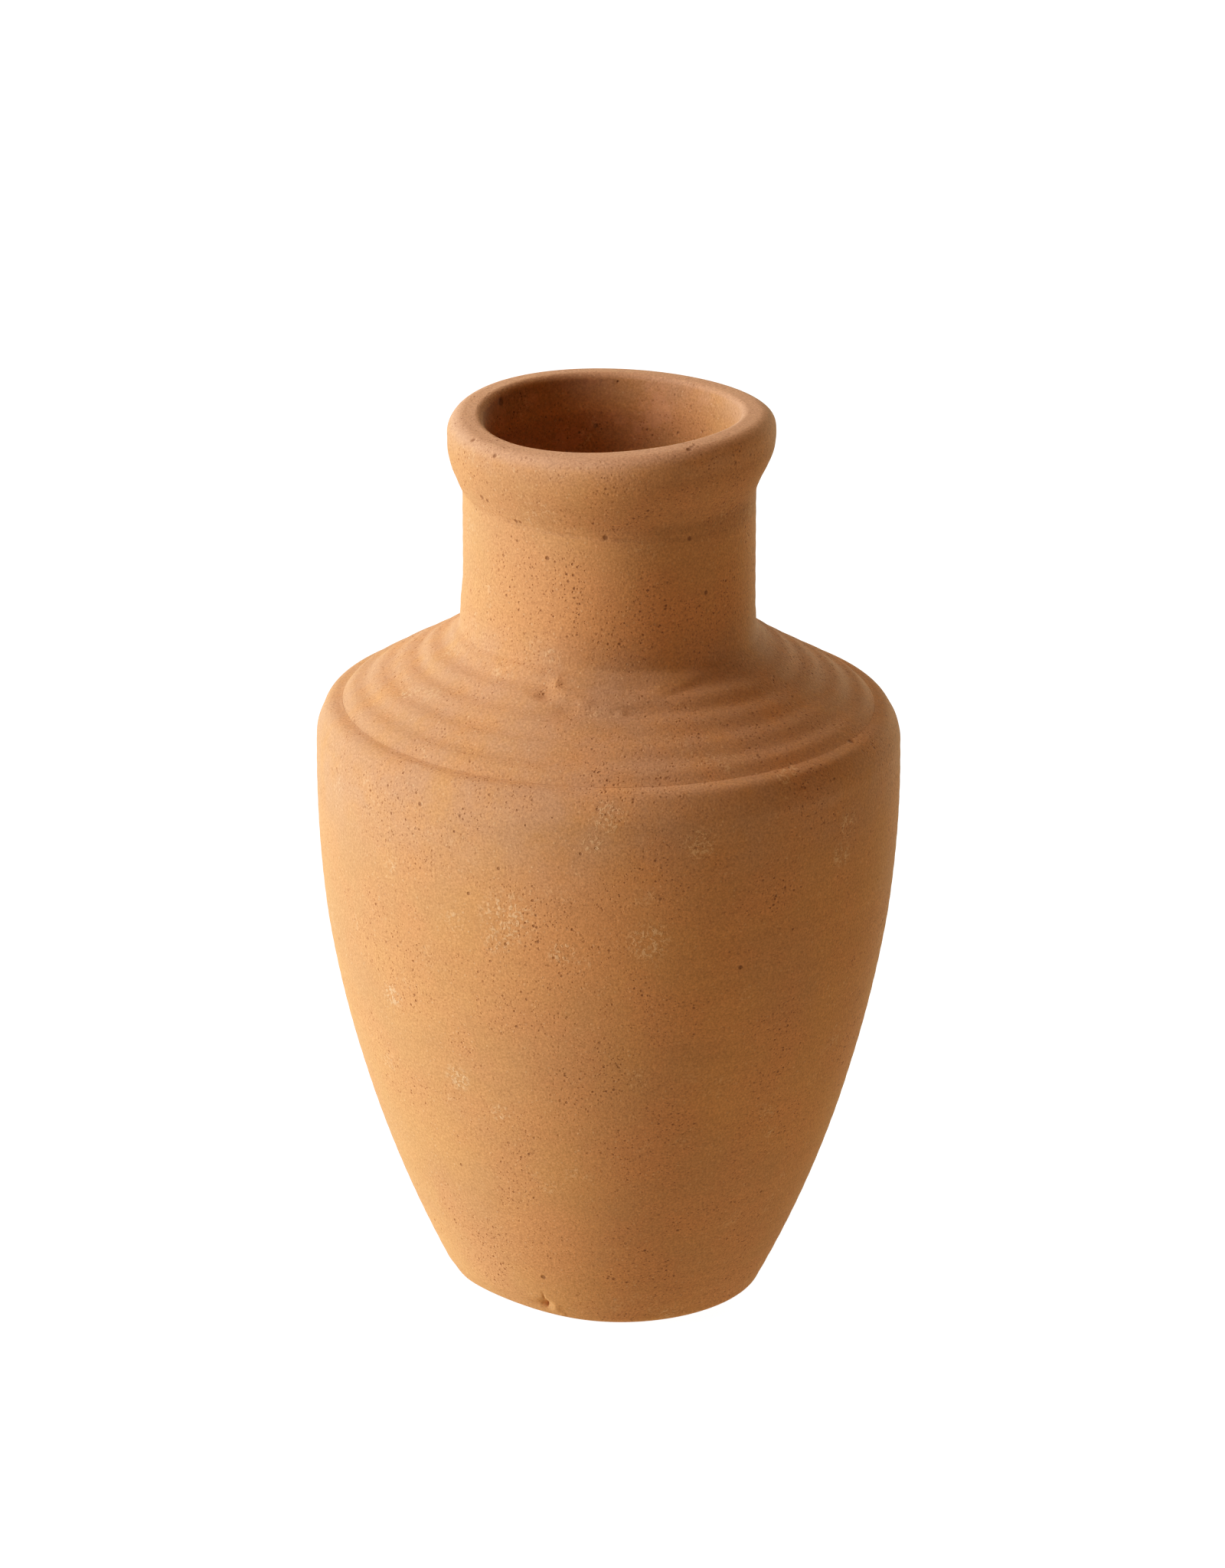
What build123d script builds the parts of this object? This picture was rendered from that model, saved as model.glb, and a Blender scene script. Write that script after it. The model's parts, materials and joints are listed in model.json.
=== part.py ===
from build123d import *
from math import cos, radians, sin, sqrt, tan
import os

# A handleless terracotta amphora vase, thrown in sections and luted together while the clay
# is leather-hard. The wheel's axis is Z and the vase stands on Z = 0. Every section is a ring
# about that axis, and each meets the next face to face on a pressed seam.

# ---- Driving dimensions, millimetres and degrees ----
foot_radius = 48.1  # of the floor disc at the surface that the vase stands on
foot_rounding = 2.5  # worn lower edge of the floor disc
floor_thickness = 10.0

wall = 8.0  # thickness of the body and the shoulder
belly_radius = 92.8  # widest radius
belly_height = 177.0  # height at which the body's curve stands upright
belly_band = 6.0  # upright band between that curve and the shoulder's corner

corner_radius = 13.5  # rounding from the belly into the shoulder
corner_turn = 65.0  # how far that rounding turns before the first groove
shoulder_slope = 31.0  # rise of the shoulder above the horizontal
ridge_width = 9.5  # one thrown ridge, measured up the slope
ridge_rise = 0.8  # crown of a ridge above its two grooves
throat_rounding = 6.0  # inner edge where the shoulder turns up into the neck

neck_radius = 46.5
neck_wall = 7.5
neck_length = 44.5  # from the shoulder's slope to the crease under the rim

coil_reach = 5.9  # how far the smoothed coil stands out from the neck
coil_rise = 7.8  # how far it climbs the neck above the slope
coil_hollow = 1.0  # depth of its finger-wiped cove

rim_height = 27.0  # from the crease to the top of the lip
rim_overhang = 5.8  # how far the rim stands out beyond the neck
rim_flare_height = 14.5  # height over which it leans out to that width
rim_flare_rounding = 23.0
lip_fall = 0.5  # how much lower the lip's outer edge is than its inner one
lip_outer_rounding = 5.0
lip_inner_rounding = 4.0
mouth_flare = 2.0  # how much wider the mouth is than the neck's bore
mouth_flare_height = 14.0
mouth_rounding = 30.0

seam_bevel = 20.0  # tilt of the neck's two seams, so that the upper section centres itself

# ---- Places that follow from them, as (radius, height) ----
wall_arc_radius = ((belly_radius - foot_radius) ** 2 + belly_height**2) / (2 * (belly_radius - foot_radius))
corner_height = belly_height + belly_band
bore_radius = neck_radius - neck_wall
bevel_drop = neck_wall * tan(radians(seam_bevel))
slope_rise = tan(radians(shoulder_slope))


def body_outside(height):
    """Point of the body's outer curve, an arc that stands upright at the belly."""
    drop = belly_height - height
    return (belly_radius - wall_arc_radius + sqrt(wall_arc_radius**2 - drop**2), height)


def body_inside(height):
    """Point of the body's inner curve, which runs one wall inside the outer one."""
    drop = belly_height - height
    inner_arc_radius = wall_arc_radius - wall
    return (belly_radius - wall - inner_arc_radius + sqrt(inner_arc_radius**2 - drop**2), height)


def corner_point(radius, turn):
    """Point of a shoulder corner of that radius after it has turned that many degrees."""
    return (
        belly_radius - corner_radius + radius * cos(radians(turn)),
        corner_height + radius * sin(radians(turn)),
    )


first_groove = corner_point(corner_radius, corner_turn)
shoulder_inside = corner_point(corner_radius - wall, 90 - shoulder_slope)
root_groove = (
    neck_radius + coil_reach,
    first_groove[1] + (first_groove[0] - neck_radius - coil_reach) * slope_rise,
)
neck_foot = (neck_radius, root_groove[1] + coil_reach * slope_rise)
neck_foot_inside = (bore_radius, neck_foot[1] + bevel_drop)
throat = (bore_radius, shoulder_inside[1] + (shoulder_inside[0] - bore_radius) * slope_rise)
crease = (neck_radius, neck_foot[1] + neck_length)
crease_inside = (bore_radius, crease[1] + bevel_drop)
lip_top = crease[1] + rim_height

slope_length = (first_groove[0] - root_groove[0]) / cos(radians(shoulder_slope))
ridge_count = max(1, round(slope_length / ridge_width))


def groove_point(number):
    """Point of one shoulder groove, counted up the slope from the first at the body's corner."""
    share = number / ridge_count
    return tuple(a + (b - a) * share for a, b in zip(first_groove, root_groove))


# ---- Floor disc: the slab that the body is raised on, with a worn lower edge ----
with BuildPart() as floor_disc:
    with BuildSketch(Plane.XZ):
        with BuildLine():
            Line((0, 0), body_outside(0))
            ThreePointArc(body_outside(0), body_outside(floor_thickness / 2), body_outside(floor_thickness))
            Polyline(body_outside(floor_thickness), (0, floor_thickness), (0, 0))
        make_face()
    revolve(axis=Axis.Z)
    fillet(floor_disc.edges().filter_by(GeomType.CIRCLE).group_by(Axis.Z)[0], foot_rounding)

# ---- Body wall: one thrown curve from the floor to the corner below the shoulder ----
with BuildPart() as body_wall:
    middle_height = (floor_thickness + belly_height) / 2
    with BuildSketch(Plane.XZ):
        with BuildLine():
            ThreePointArc(
                body_outside(floor_thickness), body_outside(middle_height), body_outside(belly_height)
            )
            Line(body_outside(belly_height), (belly_radius, corner_height))
            ThreePointArc(
                (belly_radius, corner_height), corner_point(corner_radius, corner_turn / 2), first_groove
            )
            Line(first_groove, shoulder_inside)
            ThreePointArc(
                shoulder_inside,
                corner_point(corner_radius - wall, (90 - shoulder_slope) / 2),
                (belly_radius - wall, corner_height),
            )
            Line((belly_radius - wall, corner_height), body_inside(belly_height))
            ThreePointArc(
                body_inside(belly_height), body_inside(middle_height), body_inside(floor_thickness)
            )
            Line(body_inside(floor_thickness), body_outside(floor_thickness))
        make_face()
    revolve(axis=Axis.Z)

# ---- Shoulder cap: a ridged cone that drops into the body's bevelled mouth ----
with BuildPart() as shoulder_cap:
    with BuildSketch(Plane.XZ):
        with BuildLine():
            for ridge in range(ridge_count):
                SagittaArc(groove_point(ridge), groove_point(ridge + 1), -ridge_rise)
            Polyline(root_groove, neck_foot, neck_foot_inside)
            FilletPolyline(neck_foot_inside, throat, shoulder_inside, radius=throat_rounding)
            Line(shoulder_inside, first_groove)
        make_face()
    revolve(axis=Axis.Z)

# ---- Neck tube: thrown apart and stood on the shoulder's bevelled opening ----
with BuildPart() as neck_tube:
    with BuildSketch(Plane.XZ):
        with BuildLine():
            Polyline(neck_foot, crease, crease_inside, neck_foot_inside, close=True)
        make_face()
    revolve(axis=Axis.Z)

# ---- Neck root coil: a soft coil pressed over the neck's outer seam and wiped to a cove ----
with BuildPart() as neck_root_coil:
    coil_top = (neck_radius, neck_foot[1] + coil_rise)
    with BuildSketch(Plane.XZ):
        with BuildLine():
            SagittaArc(root_groove, coil_top, coil_hollow)
            Polyline(coil_top, neck_foot, root_groove)
        make_face()
    revolve(axis=Axis.Z)

# ---- Rim coil: the thick rolled lip, seated on the neck's bevelled top ----
with BuildPart() as rim_coil:
    with BuildSketch(Plane.XZ):
        with BuildLine():
            FilletPolyline(
                crease,
                (neck_radius + rim_overhang, crease[1] + rim_flare_height),
                (neck_radius + rim_overhang, lip_top - lip_fall),
                (bore_radius + mouth_flare, lip_top),
                (bore_radius, lip_top - mouth_flare_height),
                crease_inside,
                radius=[rim_flare_rounding, lip_outer_rounding, lip_inner_rounding, mouth_rounding],
            )
            Line(crease_inside, crease)
        make_face()
    revolve(axis=Axis.Z)

# ---- Labels and files, in the order in which the potter joins the sections ----
sections = {
    "floor_disc": floor_disc,
    "body_wall": body_wall,
    "shoulder_cap": shoulder_cap,
    "neck_tube": neck_tube,
    "neck_root_coil": neck_root_coil,
    "rim_coil": rim_coil,
}
os.makedirs("parts", exist_ok=True)
for name, section in sections.items():
    section.part.label = name
    export_step(section.part, f"parts/{name}.step")
    print(f"{name}: {section.part.volume / 1000:.1f} cm3")
print(f"height {lip_top:.2f}, bore radius {bore_radius:.2f}, {ridge_count} ridges")
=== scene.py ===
"""A handleless terracotta amphora vase: six thrown sections, luted together and fired."""
import json
import math
import bpy
import numpy as np
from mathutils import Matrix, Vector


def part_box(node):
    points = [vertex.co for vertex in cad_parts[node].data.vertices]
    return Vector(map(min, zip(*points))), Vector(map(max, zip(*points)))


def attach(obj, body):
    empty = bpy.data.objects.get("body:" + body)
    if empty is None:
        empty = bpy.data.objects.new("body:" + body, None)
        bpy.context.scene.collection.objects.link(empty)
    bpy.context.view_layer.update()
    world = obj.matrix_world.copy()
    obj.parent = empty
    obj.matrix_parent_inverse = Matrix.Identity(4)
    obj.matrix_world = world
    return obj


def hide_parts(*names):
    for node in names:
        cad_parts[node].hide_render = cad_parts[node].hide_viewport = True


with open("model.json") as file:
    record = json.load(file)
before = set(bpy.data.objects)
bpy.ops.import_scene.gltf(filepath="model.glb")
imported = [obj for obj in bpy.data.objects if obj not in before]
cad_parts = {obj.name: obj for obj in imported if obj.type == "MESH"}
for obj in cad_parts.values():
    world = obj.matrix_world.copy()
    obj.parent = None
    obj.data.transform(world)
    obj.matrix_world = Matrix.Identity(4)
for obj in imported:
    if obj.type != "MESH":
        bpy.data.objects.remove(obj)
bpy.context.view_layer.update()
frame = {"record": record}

# ---- Floor disc ----
# The slab of coarse red earthenware that the body is raised on. Its lower edge is the foot, worn round
# by lifting and setting down, with a firing crack and a chip at the front left. Its underside is flat.
mm = 0.001
turns = 384  # points round every ring, the same on each section, so that the seams meet
even = np.arange(turns) * 2 * np.pi / turns
turn = even - 0.6 * np.sin(even - math.radians(245.0))  # closest together where the foot is chipped
belly_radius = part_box("body_wall")[1].x / mm
floor_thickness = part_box("floor_disc")[1].z / mm
belly_height = 177.0
foot_radius = 48.1  # where the body's curve would meet the ground
wall = 8.0
chip_bearing = 247.0  # bearings are in degrees: 0 is the pot's right, 180 its left and 270 its front
worn_bearing = 220.0
fold_height = 262.6
fold_tilt = 0.085  # how steeply the fold falls to the right on the true turned form
fold_slope = fold_tilt - 0.018  # and on the pot, whose neck leans up to the right there
taper = belly_radius - foot_radius
wall_arc = (taper**2 + belly_height**2) / (2 * taper)


def body_curve(height, inset=0.0):
    """Radius of the body at a height: a circular arc that stands upright at the belly."""
    below_belly = belly_height - np.minimum(height, belly_height)
    return belly_radius - wall_arc + np.sqrt((wall_arc - inset) ** 2 - below_belly**2)


def stretch(start, end, step):
    """Points from start towards end, evenly spaced and without the last one."""
    start, end = np.array(start, float), np.array(end, float)
    count = max(1, round(np.linalg.norm(end - start) / step))
    return start + (end - start) * (np.arange(count) / count)[:, None]


def rounded(corners, radii, step):
    """A path through corners with each inner one rounded: a circle of the given radius touches both
    straight runs, and its points are evenly spaced in angle."""
    corners = [np.array(c, float) for c in corners]
    path, last = [], corners[0]
    for before, corner, after, radius in zip(corners, corners[1:], corners[2:], radii):
        into, out = corner - before, after - corner
        into, out = into / np.linalg.norm(into), out / np.linalg.norm(out)
        bend = math.acos(np.clip(into @ out, -1, 1))
        reach = radius * math.tan(bend / 2)
        side = np.sign(into[0] * out[1] - into[1] * out[0])
        centre = corner - into * reach + side * radius * np.array([-into[1], into[0]])
        path.append(stretch(last, corner - into * reach, step))
        angle = side * np.linspace(0, bend, max(4, round(radius * bend / step)), endpoint=False)[:, None]
        arm = corner - into * reach - centre
        path.append(centre + arm * np.cos(angle) + np.array([-arm[1], arm[0]]) * np.sin(angle))
        last = corner + out * reach
    path += [stretch(last, corners[-1], step), corners[-1][None]]
    return np.concatenate(path)


def bell(value, width):
    """1 where value is 0, falling smoothly to nearly 0 at twice the width."""
    return np.exp(-((value / width) ** 2))


def from_bearing(turn, degrees):
    """How far a turn is from a bearing the short way round, in radians."""
    return (turn - math.radians(degrees) + np.pi) % (2 * np.pi) - np.pi


def unevenness(radius, height, turn):
    """How far the hands left the wall out of true, in millimetres outwards: three broad waves that wind
    with the height, the potter's helix of throwing rings, and a body that is a little slim low down."""
    helix_pitch = 5.2
    waves = 0.16 * np.sin(2 * turn + 0.021 * height + 0.6)
    waves = waves + 0.10 * np.sin(3 * turn - 0.034 * height + 2.1)
    waves = waves + 0.07 * np.sin(5 * turn + 0.05 * height)
    waves = waves + 0.035 * np.sin(2 * np.pi * height / helix_pitch + turn)
    slim_heights = [0, 20, 45, 75, 100, 125, 172, 190]
    slim = np.interp(height, slim_heights, [0.5, 0.65, 0.75, 0.75, 0.4, 0.0, 0.2, 0.3])
    return (waves - slim) * np.clip(radius / 30, 0, 1)


def foot_damage(radius, height, turn):
    """The chip in the foot's edge, in millimetres outwards. It has a bruise on its left, a firing crack
    up from it, and a burr with a crumb below on its right. Each is a bell across and up the wall."""
    across = from_bearing(turn, chip_bearing) * radius
    chip = 1.9 * bell(across, 1.7) * bell(height - 6.8, 1.9)
    bruise = 0.5 * bell(across + 3.0, 2.6) * bell(height - 6.2, 1.2)
    crack = 0.45 * bell(across - 0.2, 0.35)
    crack = crack * np.clip((13.5 - height) / 3, 0, 1) * np.clip(height - 4, 0, 1)
    burr = 0.45 * bell(across - 3.4, 1.5) * bell(height - 4.6, 2.2)
    crumb = 0.30 * bell(across - 5.2, 1.0) * bell(height - 2.6, 1.0)
    return (burr + crumb - chip - bruise - crack) * (radius > 40)


def neck_marks(radius, height, turn):
    """The fold round the neck under the lip, which is deepest at the front left and falls to the right,
    and the flare of the neck's foot, which is widest on the left. In millimetres outwards."""
    fold_at = fold_height - fold_tilt * radius * np.cos(turn) + 0.25 * np.sin(5 * turn + 1)
    fold = 0.40 * bell(height - fold_at, 0.6) * bell(from_bearing(turn, 245), 0.8)
    flare = bell(height - 226, 6.5) * (0.45 - 0.40 * np.cos(turn))
    return (flare - fold) * (radius > 44)


def as_thrown(radius, height, turn):
    """Place of a point of the true turned form on the hand-made pot, in metres. Each ring leans to the
    side by the slope for its height, its centre drifts sideways with the neck, the foot's edge is worn
    up to a bevel at the front left, the shoulder sags beside the neck, and the lip's crest waves."""
    swell = unevenness(radius, height, turn) + foot_damage(radius, height, turn)
    swell = swell + neck_marks(radius, height, turn)
    x = (radius + swell) * np.cos(turn)
    y = (radius + swell) * np.sin(turn)
    lean_heights = [150, 188, 203, 222, 263, 276]
    lean = np.interp(height, lean_heights, [0, -0.009, -0.021, -0.022, 0.018, 0.040])
    drift = np.interp(height, [205, 225, 262, 275], [0, 0.35, 0.35, 1.1])
    worn = 3.9 * bell(from_bearing(turn, worn_bearing), 0.63)
    worn = worn * np.clip((radius - 36) / 10, 0, 1) * np.clip(1 - height / 10, 0, 1)
    sag = 0.9 * np.cos(turn) ** 2 * bell(height - 213, 9.0) * (radius > 45)
    crest = np.clip((height - 270) / 18, 0, 1) * (-0.030 * x - 1.0 * np.sin(2 * turn))
    return np.stack([x + drift, y, height + lean * x + worn - sag + crest], -1) * mm


def outward(path):
    """Unit normals on the right-hand side of a path of (radius, height) points."""
    along = np.gradient(path, axis=0)
    along = along / np.linalg.norm(along, axis=1)[:, None]
    return np.stack([along[:, 1], -along[:, 0]], 1)


def turned(name, outside, inside, lift=0.0, push=None, poles=False):
    """A section of the pot. The outside path runs up and the inside path down, and together they close
    on themselves, or end in a pole at each end. Lift moves the outside in the direction of push, which
    is along its own normal unless it is given."""
    push = outward(outside) if push is None else np.broadcast_to(np.array(push), outside.shape)
    lift = np.broadcast_to(lift, (len(outside), turns))
    moved = outside[:, None, :] + push[:, None, :] * lift[:, :, None]
    loop = np.concatenate([moved, np.repeat(inside[:, None, :], turns, 1)])
    points = as_thrown(loop[:, :, 0], loop[:, :, 1], turn[None, :]).reshape(-1, 3)
    quads = grid_quads(len(loop), turns, not poles)
    if not poles:
        return piece_of_clay(name, points, quads)
    ends = as_thrown(np.zeros(2), np.array([outside[0, 1], inside[-1, 1]]), np.zeros(2))
    column = np.arange(turns)
    beside, last, pole = (column + 1) % turns, len(points) - turns, len(points)
    low_fan = np.stack([beside, column, np.full(turns, pole)], 1)
    high_fan = np.stack([last + column, last + beside, np.full(turns, pole + 1)], 1)
    return piece_of_clay(name, np.concatenate([points, ends]), quads, np.concatenate([low_fan, high_fan]))


def grid_quads(rows, columns, closed):
    """Corner numbers of the quads of a grid of rings. Each ring joins the next one, the columns close
    round the axis, and the last ring joins the first if the grid is closed."""
    row, column = np.meshgrid(np.arange(rows if closed else rows - 1), np.arange(columns), indexing="ij")
    here, above = row * columns, (row + 1) % rows * columns
    beside = (column + 1) % columns
    return np.stack([here + column, here + beside, above + beside, above + column], -1).reshape(-1, 4)


def piece_of_clay(name, points, quads, triangles=np.zeros((0, 3), int)):
    """A mesh object of these points and faces, smooth where it bends gently and sharp at its seams."""
    mesh = bpy.data.meshes.new(name)
    mesh.vertices.add(len(points))
    mesh.vertices.foreach_set("co", points.astype(np.float32).ravel())
    corners = np.concatenate([quads.ravel(), triangles.ravel()]).astype(np.int32)
    starts = np.concatenate([np.arange(len(quads)) * 4, quads.size + np.arange(len(triangles)) * 3])
    mesh.loops.add(len(corners))
    mesh.loops.foreach_set("vertex_index", corners)
    mesh.polygons.add(len(starts))
    mesh.polygons.foreach_set("loop_start", starts.astype(np.int32))
    mesh.update(calc_edges=True)
    mesh.validate()
    mesh.set_sharp_from_angle(angle=math.radians(48))
    piece = bpy.data.objects.new(name, mesh)
    bpy.context.scene.collection.objects.link(piece)
    return piece


def node(tree, kind, inputs=None, **settings):
    """Adds a shader node, sets its options, and fills each input with a value or with an output."""
    made = tree.nodes.new(kind)
    for option, value in settings.items():
        setattr(made, option, value)
    for socket, value in (inputs or {}).items():
        if isinstance(value, bpy.types.NodeSocket):
            tree.links.new(value, made.inputs[socket])
        else:
            made.inputs[socket].default_value = value
    return made


def math_of(tree, operation, a, b=0.0, c=0.0):
    """One arithmetic step between two values or outputs, or three for a product with a sum."""
    return node(tree, "ShaderNodeMath", {0: a, 1: b, 2: c}, operation=operation).outputs[0]


def times(tree, product, *others):
    """The product of values or outputs."""
    for other in others:
        product = math_of(tree, "MULTIPLY", product, other)
    return product


def largest(tree, most, *others):
    """The largest of values or outputs."""
    for other in others:
        most = math_of(tree, "MAXIMUM", most, other)
    return most


def dimmed(tree, tone, where, share):
    """A tone made darker by a share where an amount is 1, and left alone where it is 0."""
    return times(tree, tone, math_of(tree, "SUBTRACT", 1.0, times(tree, where, share)))


def between(tree, value, low, high):
    """0 where value is at low or under, 1 at high or over, and smooth from one to the other."""
    inputs = {"Value": value, "From Min": low, "From Max": high}
    return node(tree, "ShaderNodeMapRange", inputs, interpolation_type="SMOOTHSTEP").outputs[0]


def cloud(tree, place, size, detail=2.0, roughness=0.5, distortion=0.0):
    """Noise whose blotches are about that many metres across, around 0.5."""
    inputs = {"Vector": place, "Scale": 1 / size, "Detail": detail}
    inputs.update({"Roughness": roughness, "Distortion": distortion})
    return node(tree, "ShaderNodeTexNoise", inputs).outputs[0]


def vector_math(tree, operation, place, other=(0.0, 0.0, 0.0)):
    """One step of arithmetic on places."""
    return node(tree, "ShaderNodeVectorMath", {0: place, 1: other}, operation=operation).outputs


def tint(tree, amount, below, above, blend="MIX"):
    """The colour below, mixed with the colour above by an amount."""
    mix = node(tree, "ShaderNodeMix", data_type="RGBA", blend_type=blend, clamp_factor=True)
    for socket, value in ((mix.inputs[0], amount), (mix.inputs[6], below), (mix.inputs[7], above)):
        if isinstance(value, bpy.types.NodeSocket):
            tree.links.new(value, socket)
        elif isinstance(value, tuple):
            socket.default_value = (*value, 1.0)
        else:
            socket.default_value = value
    return mix.outputs[2]


def spots(tree, place, spacing, radius, share, seed):
    """Round spots scattered one to a cell: a cell has one if its random number is under the share,
    and another random number sets its radius, from 0.4 of the largest up. 1 in a spot, 0 outside."""
    moved = vector_math(tree, "ADD", place, (seed, 2 * seed, 3 * seed))[0]
    cells = node(tree, "ShaderNodeTexVoronoi", {"Vector": moved, "Scale": 1 / spacing})
    luck = node(tree, "ShaderNodeSeparateColor", {0: cells.outputs["Color"]})
    size = math_of(tree, "MULTIPLY_ADD", luck.outputs[1], 0.6, 0.4)
    edge = math_of(tree, "DIVIDE", cells.outputs["Distance"], times(tree, size, radius / spacing))
    chosen = math_of(tree, "LESS_THAN", luck.outputs[0], share)
    return times(tree, between(tree, edge, 1.15, 0.6), chosen)


def near(tree, place, mark, grow=1.0):
    """1 at a mark on the pot, and 0 further from it than its size times grow. A mark is a bearing in
    degrees, then the radius, height and size in millimetres."""
    bearing, radius, height, size = mark
    angle = math.radians(bearing)
    centre = (radius * mm * math.cos(angle), radius * mm * math.sin(angle), height * mm)
    gap = vector_math(tree, "DISTANCE", place, centre)["Value"]
    reach = grow * size * mm
    return between(tree, gap, reach, reach * 0.35)


def at_marks(tree, place, marks, grow=1.0):
    """1 at every one of the marks, and 0 away from them."""
    return largest(tree, *[near(tree, place, mark, grow) for mark in marks])


def clay_colour(tree, place, warm, dull):
    """Warm and dull patches as wide as a hand, with redder blotches over them."""
    red_marks = ((256, 46.5, 238, 26), (262, 92, 150, 34), (251, 62, 34, 26))
    patches = between(tree, cloud(tree, place, 0.055, 3.0, 0.55), 0.36, 0.64)
    blotches = between(tree, cloud(tree, place, 0.024, 4.0, 0.6), 0.36, 0.68)
    blotches = largest(tree, blotches, at_marks(tree, place, red_marks))
    colour = tint(tree, patches, warm, dull)
    return tint(tree, times(tree, blotches, 0.36), colour, (0.66, 0.262, 0.112))


def dusted(tree, place, height, colour, dust):
    """Dust over the clay: on the band under the shoulder, on ledges, and on the lip, whose crest is
    paler where hands have wiped it."""
    upward = node(tree, "ShaderNodeNewGeometry").outputs["Normal"]
    upward = node(tree, "ShaderNodeSeparateXYZ", {0: upward}).outputs[2]
    ledges = between(tree, upward, 0.10, 0.80)
    band = times(tree, between(tree, height, 0.145, 0.190), between(tree, height, 0.235, 0.215))
    lip = between(tree, height, 0.278, 0.288)
    dusty = largest(tree, times(tree, band, 0.70), times(tree, lip, 0.75), times(tree, ledges, 0.5))
    dusty = times(tree, dusty, between(tree, cloud(tree, place, 0.016, 5.0, 0.65), 0.22, 0.68))
    crest = times(tree, between(tree, height, 0.270, 0.280), between(tree, upward, 0.25, 0.80))
    return tint(tree, times(tree, crest, 0.75), tint(tree, dusty, colour, dust), (0.58, 0.312, 0.19))


def throwing_tone(tree, place):
    """How light the clay is: faint level streaks from throwing times a sandy grain, around 1."""
    flat = node(tree, "ShaderNodeMapping", {"Vector": place, "Scale": (1.0, 1.0, 4.0)}).outputs[0]
    streaks = math_of(tree, "MULTIPLY_ADD", cloud(tree, flat, 0.030, 5.0, 0.6), 0.16, 0.92)
    grain = math_of(tree, "MULTIPLY_ADD", cloud(tree, place, 0.0007, 1.0, 0.6), 0.80, 0.60)
    return times(tree, streaks, grain)


def grog_holes_and_fold_shade(tree, place, above_fold, outside):
    """Pits where grog pulled out: fine and middling ones, mostly in crowds, a few large ones and the listed
    ones, with painted shade along the fold under the lip as a broken dark line. 1 in a hole, 0 outside."""
    crowd_marks = ((254, 46, 249, 13), (262, 46, 236, 13), (229, 53, 25, 17), (268, 84, 100, 18))
    crowd = between(tree, cloud(tree, place, 0.024, 3.0, 0.55), 0.42, 0.66)
    crowd = largest(tree, crowd, at_marks(tree, place, crowd_marks))
    crowd = math_of(tree, "MULTIPLY_ADD", crowd, 0.85, 0.12)
    fine = times(tree, spots(tree, place, 0.0012, 0.00040, 0.85, 0.13), crowd, 0.62)
    middling = times(tree, spots(tree, place, 0.0021, 0.00052, 0.80, 0.31), crowd)
    large = times(tree, spots(tree, place, 0.0075, 0.00060, 0.55, 0.77), 0.9)
    broken = between(tree, cloud(tree, place, 0.0040, 4.0, 0.7), 0.42, 0.72)
    # painted shade: a broken dark line along the fold under the lip, where its groove lies in shade
    fold_shade_line = between(tree, math_of(tree, "ABSOLUTE", above_fold), 0.0013, 0.0002)
    fold_shade_line = times(tree, fold_shade_line, outside, broken, 0.42)
    return largest(tree, fine, middling, large, fold_shade_line, at_marks(tree, place, big_holes))


def lime_marks(tree, place):
    """Pale lime: flecks all over, thicker in places, and crumbs where the surface has been rubbed."""
    thicker = between(tree, cloud(tree, place, 0.020, 3.0, 0.55), 0.50, 0.68)
    flecks = times(tree, spots(tree, place, 0.0019, 0.00046, 0.65, 0.53), largest(tree, thicker, 0.55), 0.7)
    crumbs = between(tree, cloud(tree, place, 0.0014, 3.0, 0.7, 0.4), 0.49, 0.61)
    rubbed = between(tree, cloud(tree, place, 0.017, 3.0, 0.6), 0.58, 0.80)
    rubbed = largest(tree, rubbed, at_marks(tree, place, rubs, 1.5))
    return largest(tree, flecks, times(tree, crumbs, rubbed))


# Marks listed one by one, to the nearest degree and half millimetre: bearing, radius, height and size of
# the holes that pulled grog left, then of the places rubbed pale.
big_holes = (
    (209, 48, 287.5, 1.2), (225, 49.5, 286, 1.1), (150, 39.5, 286.5, 2.0), (301, 48.5, 290, 1.2),
    (303, 47.5, 290, 1.1), (96, 38.5, 273, 1.1), (249, 57, 19, 1.2), (231, 92.5, 184.5, 1.0),
    (242, 92, 158.5, 0.8), (297, 90.5, 134, 1.0), (216, 48.5, 270.5, 1.2), (219, 48, 270, 1.0),
    (232, 46.5, 265, 1.2), (234, 46.5, 265, 1.0), (269, 46, 263, 1.2), (303, 46.5, 260.5, 1.1),
    (246, 46, 255, 1.0), (311, 46.5, 241.5, 1.1), (333, 85, 193.5, 1.4),
)
rubs = (
    (288, 92.5, 177, 5), (250, 91.5, 152, 8), (261, 91, 142, 4), (278, 91.5, 146, 6), (270, 92, 187, 5),
    (267, 92.5, 179, 3), (324, 92.5, 172, 4), (322, 92.5, 162.5, 4), (219, 87.5, 115, 4), (235, 82, 92, 4),
    (245, 79.5, 82, 3), (311, 86, 193.5, 2.5), (308, 87.5, 191, 2.5), (307, 89, 188, 2.5),
    (248, 91, 143.5, 4),
)


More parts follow.
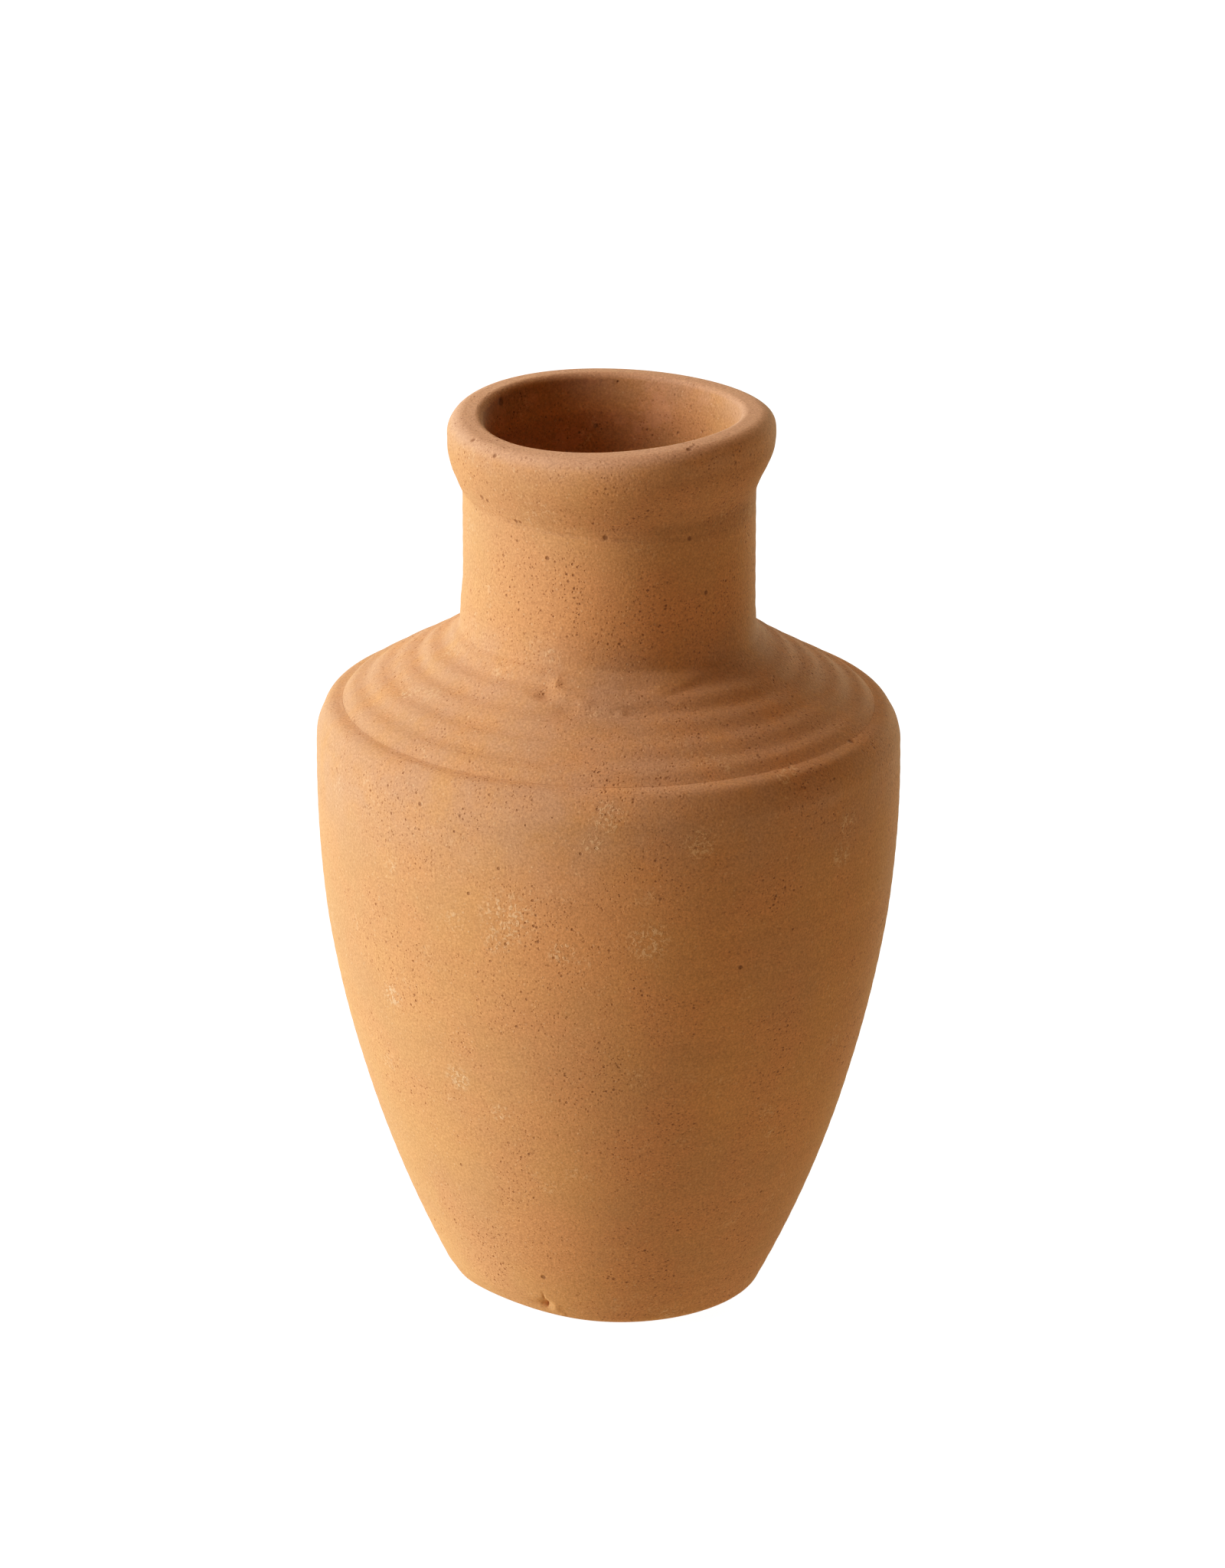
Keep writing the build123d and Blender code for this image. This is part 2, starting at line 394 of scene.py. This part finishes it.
def fired_clay(name):
    """Unglazed earthenware: patched, dusty and grainy, with painted shade inside the neck and mouth and in
    the crease under the lip, darker in a patch at the front of the neck's foot, with pits where grog
    pulled out, painted shade along the fold, and pale lime marks."""
    material = bpy.data.materials.new(name)
    material.use_nodes = True
    tree = material.node_tree
    shader = tree.nodes["Principled BSDF"]
    place = node(tree, "ShaderNodeTexCoord").outputs["Object"]
    apart = node(tree, "ShaderNodeSeparateXYZ", {0: place}).outputs
    x, height = apart[0], apart[2]
    level = vector_math(tree, "MULTIPLY", place, (1.0, 1.0, 0.0))[0]
    from_axis = vector_math(tree, "LENGTH", level)["Value"]
    outside = between(tree, from_axis, 0.0430, 0.0445)
    # inside the neck and mouth: this mask carries the painted shade in there, and the stains
    inside = times(tree, between(tree, from_axis, 0.0425, 0.0400), between(tree, height, 0.200, 0.230))
    above_fold = math_of(tree, "MULTIPLY_ADD", x, fold_slope, height)
    above_fold = math_of(tree, "SUBTRACT", above_fold, fold_height * mm)
    # painted shade in the crease under the lip: a band from a little under the fold up to the lip's crest
    crease = times(tree, between(tree, above_fold, -0.0034, 0.0036), between(tree, height, 0.286, 0.280))
    crease = times(tree, crease, outside)

    colour = clay_colour(tree, place, warm=(0.60, 0.285, 0.11), dull=(0.55, 0.265, 0.113))
    colour = dusted(tree, place, height, colour, dust=(0.51, 0.272, 0.158))
    # painted shade: the clay is made darker inside the neck and mouth and in the crease under the lip
    tone = dimmed(tree, throwing_tone(tree, place), inside, 0.17)
    tone = dimmed(tree, tone, crease, 0.115)
    # darker in a patch at the front of the neck's foot
    tone = dimmed(tree, tone, near(tree, place, (264, 56, 218, 26)), 0.12)
    toned = node(tree, "ShaderNodeCombineXYZ", {0: tone, 1: tone, 2: tone}).outputs[0]
    colour = tint(tree, 1.0, colour, toned, "MULTIPLY")
    stains = times(tree, inside, between(tree, cloud(tree, place, 0.011, 4.0, 0.6), 0.50, 0.66))
    colour = tint(tree, times(tree, stains, 0.35), colour, (0.70, 0.33, 0.19))
    # the pits, and the painted shade line along the fold under the lip, both made dark
    holes_and_fold_shade = grog_holes_and_fold_shade(tree, place, above_fold, outside)
    colour = tint(tree, times(tree, holes_and_fold_shade, 0.64), colour, (0.13, 0.05, 0.02))
    lime = lime_marks(tree, place)
    colour = tint(tree, times(tree, lime, 0.64), colour, (0.80, 0.50, 0.28))
    tree.links.new(colour, shader.inputs["Base Color"])

    relief = times(tree, cloud(tree, place, 0.0008, 2.0, 0.6), 0.40)
    relief = math_of(tree, "SUBTRACT", relief, times(tree, holes_and_fold_shade, 0.9))
    relief = math_of(tree, "ADD", relief, times(tree, lime, 0.35))
    bump = node(tree, "ShaderNodeBump", {"Height": relief, "Strength": 0.70, "Distance": 0.0004})
    tree.links.new(bump.outputs[0], shader.inputs["Normal"])
    shader.inputs["Roughness"].default_value = 0.93
    shader.inputs["Specular IOR Level"].default_value = 0.18
    shader.inputs["Diffuse Roughness"].default_value = 0.6
    return material


def fire(piece, node_name, material):
    """The piece takes its clay, rides on the pot's one body and stands for its CAD node."""
    piece.data.materials.append(material)
    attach(piece, "root")
    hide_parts(node_name)


terracotta = fired_clay("terracotta")
foot_edge = 4.0  # radius that the foot's edge is worn round to
wall_bend = 200.0
pole_ring = 1.0  # the slab's innermost ring, which a fan of triangles closes
foot_corner = (foot_radius, 0.0)
middle = (body_curve(floor_thickness / 2), floor_thickness / 2)
top_edge = (body_curve(floor_thickness), floor_thickness)
top_middle = (pole_ring, floor_thickness)
floor_outside = rounded([(pole_ring, 0.0), foot_corner, middle, top_edge], [foot_edge, wall_bend], 0.6)
floor_inside = np.concatenate([stretch(top_edge, top_middle, 2.5), [top_middle]])[1:]
floor_disc = turned("floor_disc_clay", floor_outside, floor_inside, poles=True)
fire(floor_disc, "floor_disc", terracotta)

# ---- Body wall ----
# The thrown body, of the same clay, one wall thick all the way. It is luted on to the floor disc and
# turns in at a rounded corner, where the shoulder is luted in. Throwing rings wind round it.
first_groove = (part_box("shoulder_cap")[1].x / mm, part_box("body_wall")[1].z / mm)
corner_radius = 13.5
corner_height = 183.0
corner_turn = math.acos((first_groove[0] - belly_radius + corner_radius) / corner_radius)
slope = math.radians(31.0)


def corner(radius, angle):
    """Point on a shoulder corner of that radius, after it has turned by an angle from upright."""
    angle = np.asarray(angle)
    across = belly_radius - corner_radius + radius * np.cos(angle)
    return np.stack([across, corner_height + radius * np.sin(angle)], -1)


rise = np.concatenate([np.arange(floor_thickness, 24, 0.7), np.arange(24, corner_height, 1.3)])
wall_outside = np.stack([body_curve(rise), rise], 1)
bend = np.linspace(0, corner_turn, 26)
wall_outside = np.concatenate([wall_outside, corner(corner_radius, bend)])
drop = np.arange(corner_height, floor_thickness, -2.6)
wall_inside = np.concatenate([
    corner(corner_radius - wall, np.linspace(math.pi / 2 - slope, 0, 6)),
    np.stack([body_curve(drop, wall), drop], 1)[1:],
    [[body_curve(floor_thickness, wall), floor_thickness]],
])
pitch = 9.5  # from one finger groove to the next
ridge_run = 4 * pitch  # the slope's length from the first groove to the last


def ridging(along):
    """Height of the finger ridges at a distance up the slope from the first groove, round the pot. Each
    ridge is a wave between two grooves; the outer two stand highest, and all wander and fade a little.
    The first groove is scored deeper at the front left."""
    along = np.asarray(along)[:, None]
    wander = 0.35 * np.sin(2 * turn + 1.0 + 0.05 * along) + 0.22 * np.sin(5 * turn - 0.09 * along)
    wander = wander * np.clip(np.minimum(along / 5, (ridge_run - along) / 5), 0, 1)
    wave = 0.5 - 0.5 * np.cos(2 * np.pi * (along + wander) / pitch)
    crests = [0.6, 0.75, 0.82, 0.72, 0.55, 0.50, 0.72, 0.60]
    crest = np.interp(along, [-9.5, -5, 0, 5, 12, 24, 31, 38], crests)
    sunk = np.interp(along, [-9.5, -4, 0, 10, 28, 38], [0.0, 0.55, 0.85, 0.80, 0.60, 0.0])
    worn_down = 1 + 0.20 * np.sin(3 * turn + 0.13 * along)
    worn_down = worn_down * (1 - 0.25 * bell(from_bearing(turn, 315), 0.8))
    scored = 0.34 * bell(along + wander, 1.7) * bell(from_bearing(turn, 232), 0.85)
    return (crest * (wave - sunk) * worn_down - scored) * (along > -pitch)


wall_lift = np.concatenate([np.zeros((len(rise), turns)), ridging(corner_radius * (bend - corner_turn))])
body_wall = turned("body_wall_clay", wall_outside, wall_inside, wall_lift)
fire(body_wall, "body_wall", terracotta)

# ---- Shoulder cap ----
# A thrown cone of the same clay that closes the body in to the neck and drops into the body's bevelled
# mouth. The potter left four finger ridges on it, with a groove on each side of every one.
root_groove = (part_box("neck_root_coil")[1].x / mm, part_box("neck_root_coil")[0].z / mm)
neck_low, neck_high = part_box("neck_tube")
neck_radius = neck_high.x / mm
neck_foot = neck_low.z / mm
mounts = {mount["name"]: mount for mount in frame["record"]["mounts"]}
bore = mounts["neck_bore"]["dims"]["r_mm"]
throat_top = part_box("shoulder_cap")[1].z / mm
shoulder_inside_corner = corner(corner_radius - wall, math.pi / 2 - slope)
smear_radius = 54  # where the slip's marks lie, from the axis
# bearing, place up the slope, width, length and height of each blob, or of each dent if it is under 0
finger_marks = (
    (251.8, 39.0, 1.5, 2.2, 0.4), (262.5, 32.2, 2.4, 1.1, 0.5), (273.8, 29.2, 1.5, 1.0, 0.4),
    (288.0, 38.5, 2.8, 1.0, 0.3), (249.3, 34.2, 3.2, 1.7, -1.0), (257.5, 29.3, 3.0, 1.4, -0.5),
)


def smear(along):
    """Thickness of the slip that was wiped down over the innermost groove at the front, at a distance
    up the slope. It ends in a soft edge, with blobs where the finger lifted and a dent on its left."""
    along = np.asarray(along)[:, None]
    edge_bearings = [236, 248, 256, 270, 282, 296, 310]
    edge = np.interp(np.degrees(turn), edge_bearings, [40, 38, 32, 28.5, 31, 36, 40])
    over = np.clip((along - edge) / 3.5, 0, 1)
    over = over * over * (3 - 2 * over) * np.clip((47 - along) / 6, 0, 1)
    thick = 0.60 * over
    for bearing, place, wide, tall, high in finger_marks:
        across = from_bearing(turn, bearing) * smear_radius
        thick = thick + high * bell(across, wide) * bell(along - place, tall)
    return thick, over


along = np.linspace(0, ridge_run, 69)
slope_up = np.array([-math.cos(slope), math.sin(slope)])
slope_out = np.array([math.sin(slope), math.cos(slope)])
seam = (neck_radius, neck_foot)
under_coil = np.concatenate([stretch(root_groove, seam, 1.2)[1:], [seam]])
cap_outside = np.concatenate([np.array(first_groove) + along[:, None] * slope_up, under_coil])
slip, covered = smear(along)
cap_lift = np.concatenate([ridging(along) * (1 - covered) + slip, np.zeros((len(under_coil), turns))])
cap_inside = rounded(
    [(bore, throat_top), (bore, throat_top - 9.0), tuple(shoulder_inside_corner)], [6.0], 1.6
)
shoulder_cap = turned("shoulder_cap_clay", cap_outside, cap_inside, cap_lift, slope_out)
fire(shoulder_cap, "shoulder_cap", terracotta)

# ---- Neck tube ----
# The short straight neck, of the same clay. It was thrown apart from the body, stood on the shoulder's
# bevelled opening and luted there with slip.
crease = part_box("rim_coil")[0].z / mm
neck_outside = np.concatenate([
    stretch(seam, (neck_radius, crease - 6), 0.9),
    stretch((neck_radius, crease - 6), (neck_radius, crease), 0.4), [[neck_radius, crease]]
])
neck_inside = np.concatenate([
    stretch((bore, neck_high.z / mm), (bore, throat_top), 1.6), [[bore, throat_top]]
])
neck_tube = turned("neck_tube_clay", neck_outside, neck_inside)
fire(neck_tube, "neck_tube", terracotta)

# ---- Neck root coil ----
# A soft coil of clay and slip, pressed over the outside of the seam at the neck's foot and wiped with
# a finger to a small cove.
coil_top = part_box("neck_root_coil")[1].z / mm
cove = (neck_radius + 0.7, neck_foot + 0.2)
coil_outside = rounded([root_groove, cove, (neck_radius, coil_top)], [4.0], 0.4)
up_coil = np.linalg.norm(coil_outside - np.array(root_groove), axis=1)
fillet = np.sin(np.pi * np.clip(up_coil / 9, 0, 1))[:, None] ** 2
slip, covered = smear(ridge_run + up_coil)
coil_lift = slip + 0.9 * fillet * bell(from_bearing(turn, 240), 0.9)
coil_inside = np.concatenate([
    stretch((neck_radius, coil_top), seam, 1.0)[1:],
    stretch(seam, root_groove, 1.0),
])
neck_root_coil = turned("neck_root_coil_clay", coil_outside, coil_inside, coil_lift, slope_out)
clay_slip = fired_clay("clay_slip")
fire(neck_root_coil, "neck_root_coil", clay_slip)

# ---- Rim coil ----
# The thick rolled lip, of the same clay, seated on the neck's bevelled top and luted there. It leans
# out from a crease, and its crest is rounded over by a wet cloth.
rim_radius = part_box("rim_coil")[1].x / mm
lip_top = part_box("rim_coil")[1].z / mm
lip_wall = rim_radius - 0.4
flare_top = crease + 14.5
mouth_bottom = lip_top - 16.0
rim_outside = rounded(
    [(neck_radius, crease), (neck_radius, crease + 2.3), (lip_wall, flare_top), (lip_wall, lip_top - 0.5),
     (bore + 2.0, lip_top), (bore, lip_top - 12.0), (bore, mouth_bottom)],
    [10.0, 20.0, 5.5, 2.6, 20.0], 0.5,
)
neck_top = (bore, neck_high.z / mm)
rim_inside = np.concatenate([stretch((bore, mouth_bottom - 0.6), neck_top, 1.6), [neck_top]])
rim_coil = turned("rim_coil_clay", rim_outside, rim_inside)
fire(rim_coil, "rim_coil", terracotta)

# ---- Studio ----
# A pale paper sweep that glows, so that it stays pale under the pot, and that only the camera sees. A
# tall soft key lights the pot from the left, a weak one from above and one from behind, and warm light
# rises from below.
sweep_radius, sweep_height, sweep_turns = 14.0, 16.0, 64
sweep_corners = [(0.0, 0.0), (sweep_radius, 0.0), (sweep_radius, sweep_height)]
sweep = rounded(sweep_corners, [4.0], 1.5)[::-1]
bearing = np.linspace(0, 2 * np.pi, sweep_turns, endpoint=False)
across, up = sweep[:, :1], np.repeat(sweep[:, 1:], sweep_turns, 1)
sweep_points = np.stack([across * np.cos(bearing), across * np.sin(bearing), up], -1).reshape(-1, 3)
floor = piece_of_clay("studio_sweep", sweep_points, grid_quads(len(sweep), sweep_turns, False))
paper = bpy.data.materials.new("studio_paper")
paper.use_nodes = True
paper_shader = paper.node_tree.nodes["Principled BSDF"]
paper_shader.inputs["Base Color"].default_value = (0.30, 0.30, 0.30, 1.0)
paper_shader.inputs["Roughness"].default_value = 0.9
paper_shader.inputs["Emission Color"].default_value = (1.0, 1.0, 1.0, 1.0)
paper_shader.inputs["Emission Strength"].default_value = 0.97
floor.data.materials.append(paper)
floor.visible_diffuse = False
floor.visible_glossy = False
floor.visible_shadow = False
pot_middle = 0.15
softbox_distance = 2.4


def softbox(name, bearing, elevation, width, height, power, colour):
    """A rectangular area light that faces the pot's middle. Its bearing is in degrees to the right of
    the viewer, so that -90 is the pot's left and 180 is behind it."""
    light = bpy.data.lights.new(name, "AREA")
    light.shape = "RECTANGLE"
    light.size = width
    light.size_y = height
    light.energy = power
    light.color = colour
    lamp = bpy.data.objects.new(name, light)
    bearing, elevation = math.radians(bearing), math.radians(elevation)
    across = softbox_distance * math.cos(elevation)
    up = softbox_distance * math.sin(elevation) + pot_middle
    lamp.location = (across * math.sin(bearing), -across * math.cos(bearing), up)
    lamp.rotation_euler = (math.pi / 2 - elevation, 0, bearing)
    bpy.context.scene.collection.objects.link(lamp)
    return lamp


softbox("key", -83, 18, 1.7, 2.2, power=113, colour=(1.0, 0.96, 0.935))
softbox("rim", 150, 10, 1.0, 1.0, power=33, colour=(1.0, 0.98, 0.74))
softbox("top", -30, 80, 1.6, 1.6, power=12, colour=(1.0, 0.60, 0.20))
world = bpy.data.worlds.new("studio_world")
bpy.context.scene.world = world
world.use_nodes = True
sky = world.node_tree
toward = node(sky, "ShaderNodeTexCoord").outputs["Generated"]
toward_up = node(sky, "ShaderNodeSeparateXYZ", {0: toward}).outputs[2]
glow = tint(sky, between(sky, toward_up, 0.05, -0.25), (0.0, 0.0, 0.0), (0.67, 0.55, 0.385))
sky.links.new(glow, sky.nodes["Background"].inputs["Color"])


def film(light):
    """How light a print shows an amount of light: twice a power of it, over one more than that power,
    so that shadows open, highlights roll off, and one stays white."""
    return 2 * light**1.1 / (1 + light**1.1)


look = bpy.context.scene.view_settings
look.view_transform = "Standard"
look.use_curve_mapping = True
print_curve = look.curve_mapping.curves[3].points
for light in (0.02, 0.06, 0.14, 0.28, 0.50, 0.75):
    print_curve.new(light, film(light))
look.curve_mapping.update()

camera_place = (0.0, -3.0696, 1.2402)
aim_height = 0.166
camera = bpy.data.objects.new("camera", bpy.data.cameras.new("camera"))
camera.location = camera_place
camera.rotation_euler = (math.pi / 2 - math.atan2(camera_place[2] - aim_height, -camera_place[1]), 0, 0)
camera.data.lens = 235.4
camera.data.sensor_width = 36.0
camera.data.shift_x = 0.0027
camera.data.clip_end = 100.0
bpy.context.scene.collection.objects.link(camera)
bpy.context.scene.camera = camera
